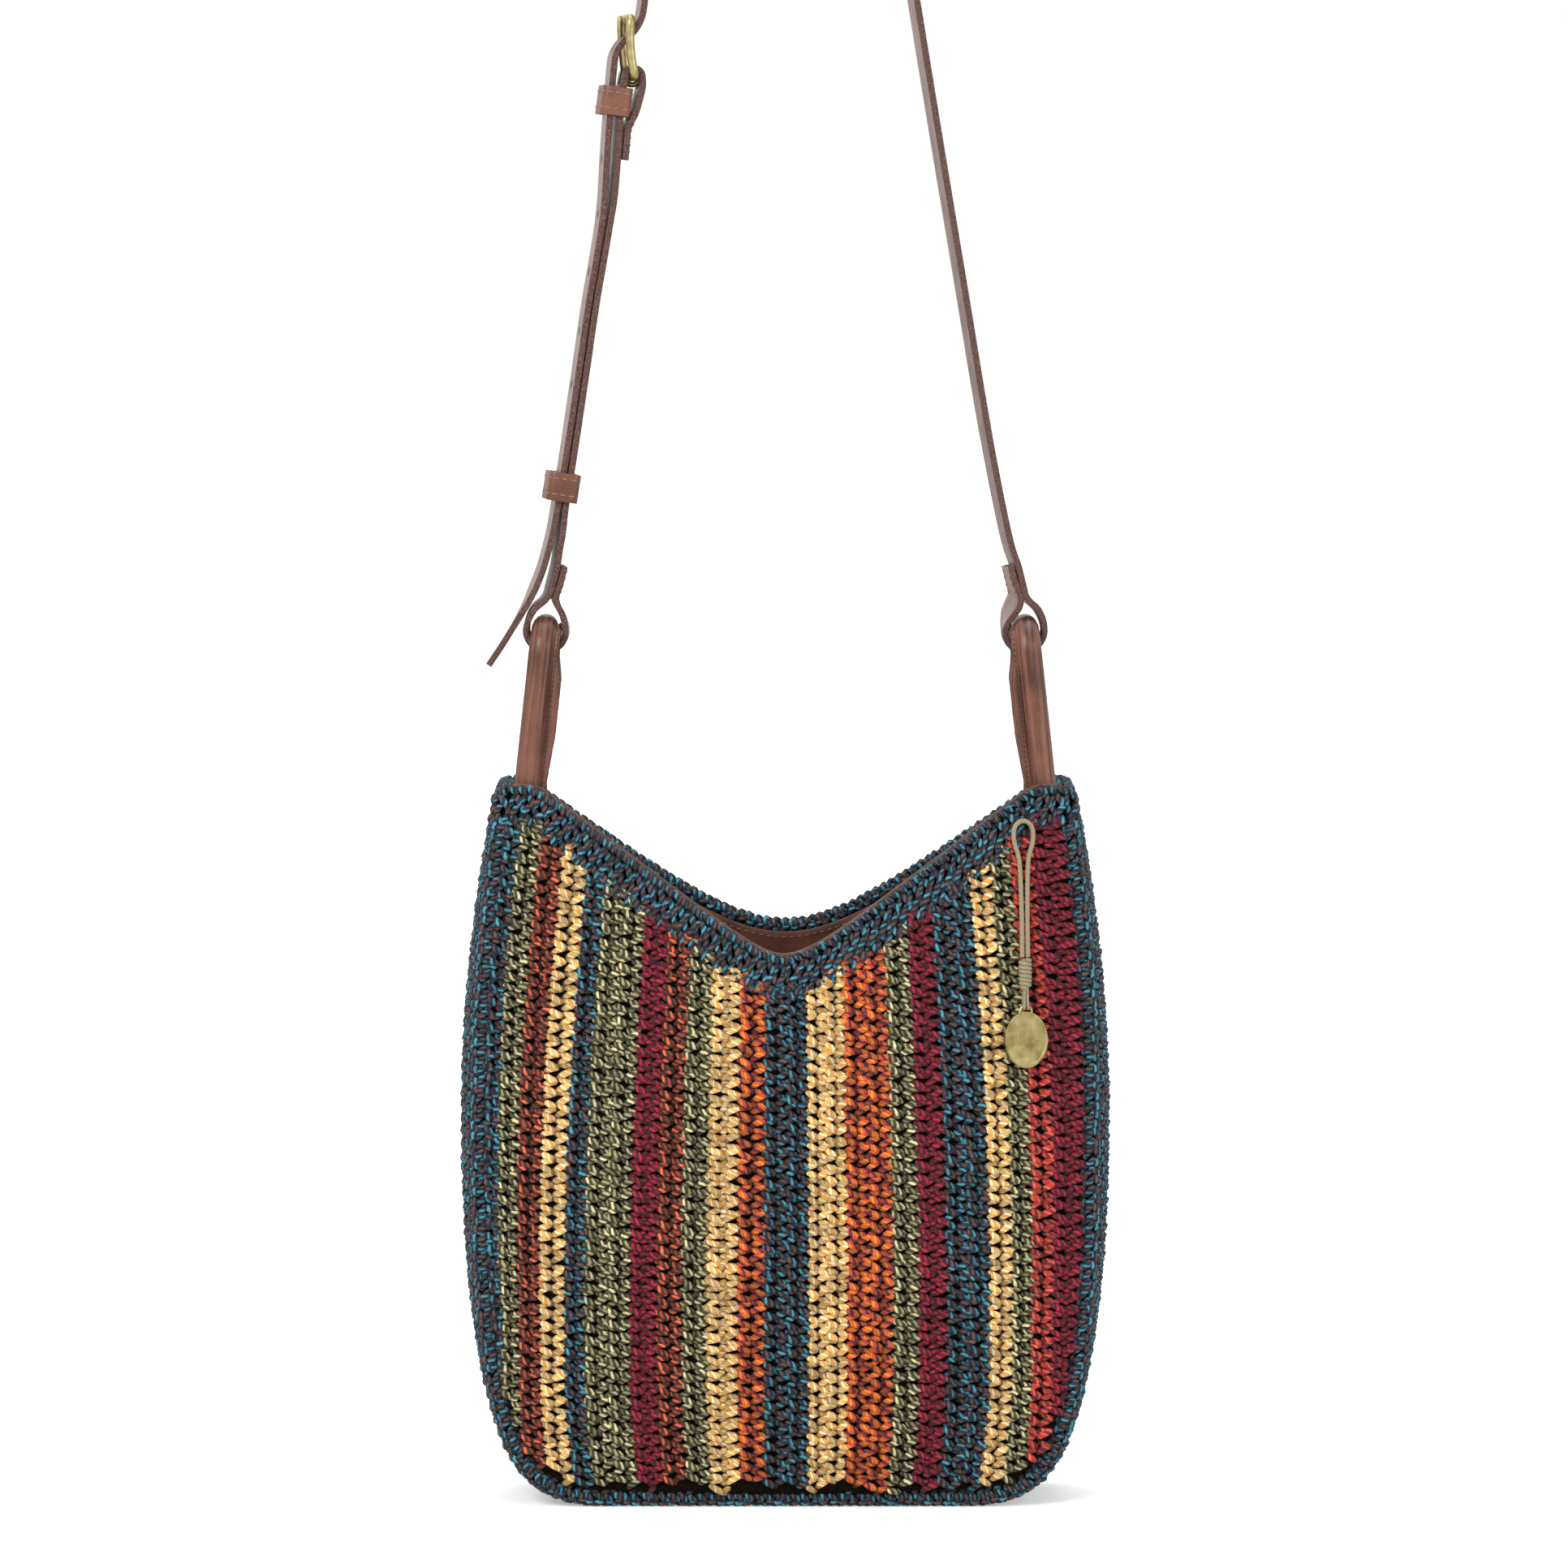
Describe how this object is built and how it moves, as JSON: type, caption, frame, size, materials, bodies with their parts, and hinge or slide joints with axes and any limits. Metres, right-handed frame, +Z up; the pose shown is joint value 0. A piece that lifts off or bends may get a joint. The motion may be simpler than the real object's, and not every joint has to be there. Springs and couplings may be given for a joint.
{
  "type": "crocheted crossbody bag",
  "caption": "Striped crocheted shoulder bag with rolled leather handle loops, a buckled adjustable strap and a hanging charm.",
  "frame": {"origin": "on the ground under the middle of the bag, which stands on its flat base", "axes": "+Z up, +X to the wearer's left along the bag's width, front of the bag towards -Y"},
  "size_m": [0.283, 0.0959, 0.8894],
  "materials": {
    "yarn": "matt plied yarn in seven mixed colours",
    "navy_yarn": "matt plied yarn",
    "strap_leather": "grained leather with dark raw edges",
    "handle_leather": "grained leather, low sheen",
    "filler": "cotton rope",
    "lining_cloth": "matt woven cloth",
    "charm_cord": "waxed cord",
    "antique_brass": "brushed, darkened in the hollows"
  },
  "bodies": {
    "bag": {"front_panel": "yarn", "back_panel": "yarn", "gusset": "navy_yarn", "front_seam_braid": "navy_yarn", "back_seam_braid": "navy_yarn", "opening_border": "navy_yarn", "opening_facing": "handle_leather", "lining": "lining_cloth", "left_handle_cover": "handle_leather", "left_handle_core": "filler", "right_handle_cover": "handle_leather", "right_handle_core": "filler", "shoulder_strap": "strap_leather", "buckle_strap": "strap_leather", "fixed_keeper": "handle_leather"},
    "buckle": {"buckle_frame": "antique_brass"},
    "prong": {"buckle_prong": "antique_brass"},
    "loose_keeper": {"sliding_keeper": "handle_leather"},
    "charm": {"charm_cord": "charm_cord", "charm_wrap": "charm_cord"},
    "disc": {"charm_disc": "antique_brass"}
  },
  "joints": [
    {"name": "buckle_rock", "type": "hinge", "parent": "bag", "child": "buckle", "pos_m": [-0.0666, 0, 0.6218], "axis": [-0.1305, 0.9914, 0], "range_deg": [-2, 2]},
    {"name": "prong_lift", "type": "hinge", "parent": "buckle", "child": "prong", "pos_m": [-0.0666, 0, 0.6218], "axis": [-0.1305, 0.9914, 0], "range_deg": [-3, 0]},
    {"name": "keeper_slide", "type": "slide", "parent": "bag", "child": "loose_keeper", "axis": [0.1609, 0, 0.987], "range_m": [-0.006, 0.11]},
    {"name": "charm_swing", "type": "hinge", "parent": "bag", "child": "charm", "pos_m": [0.103, -0.0345, 0.3008], "axis": [-0.1903, 0.979, -0.0732], "range_deg": [-20, 20]},
    {"name": "disc_swing", "type": "hinge", "parent": "charm", "child": "disc", "pos_m": [0.1041, -0.0402, 0.2181], "axis": [-0.1903, 0.979, -0.0732], "range_deg": [-20, 20]}
  ]
}
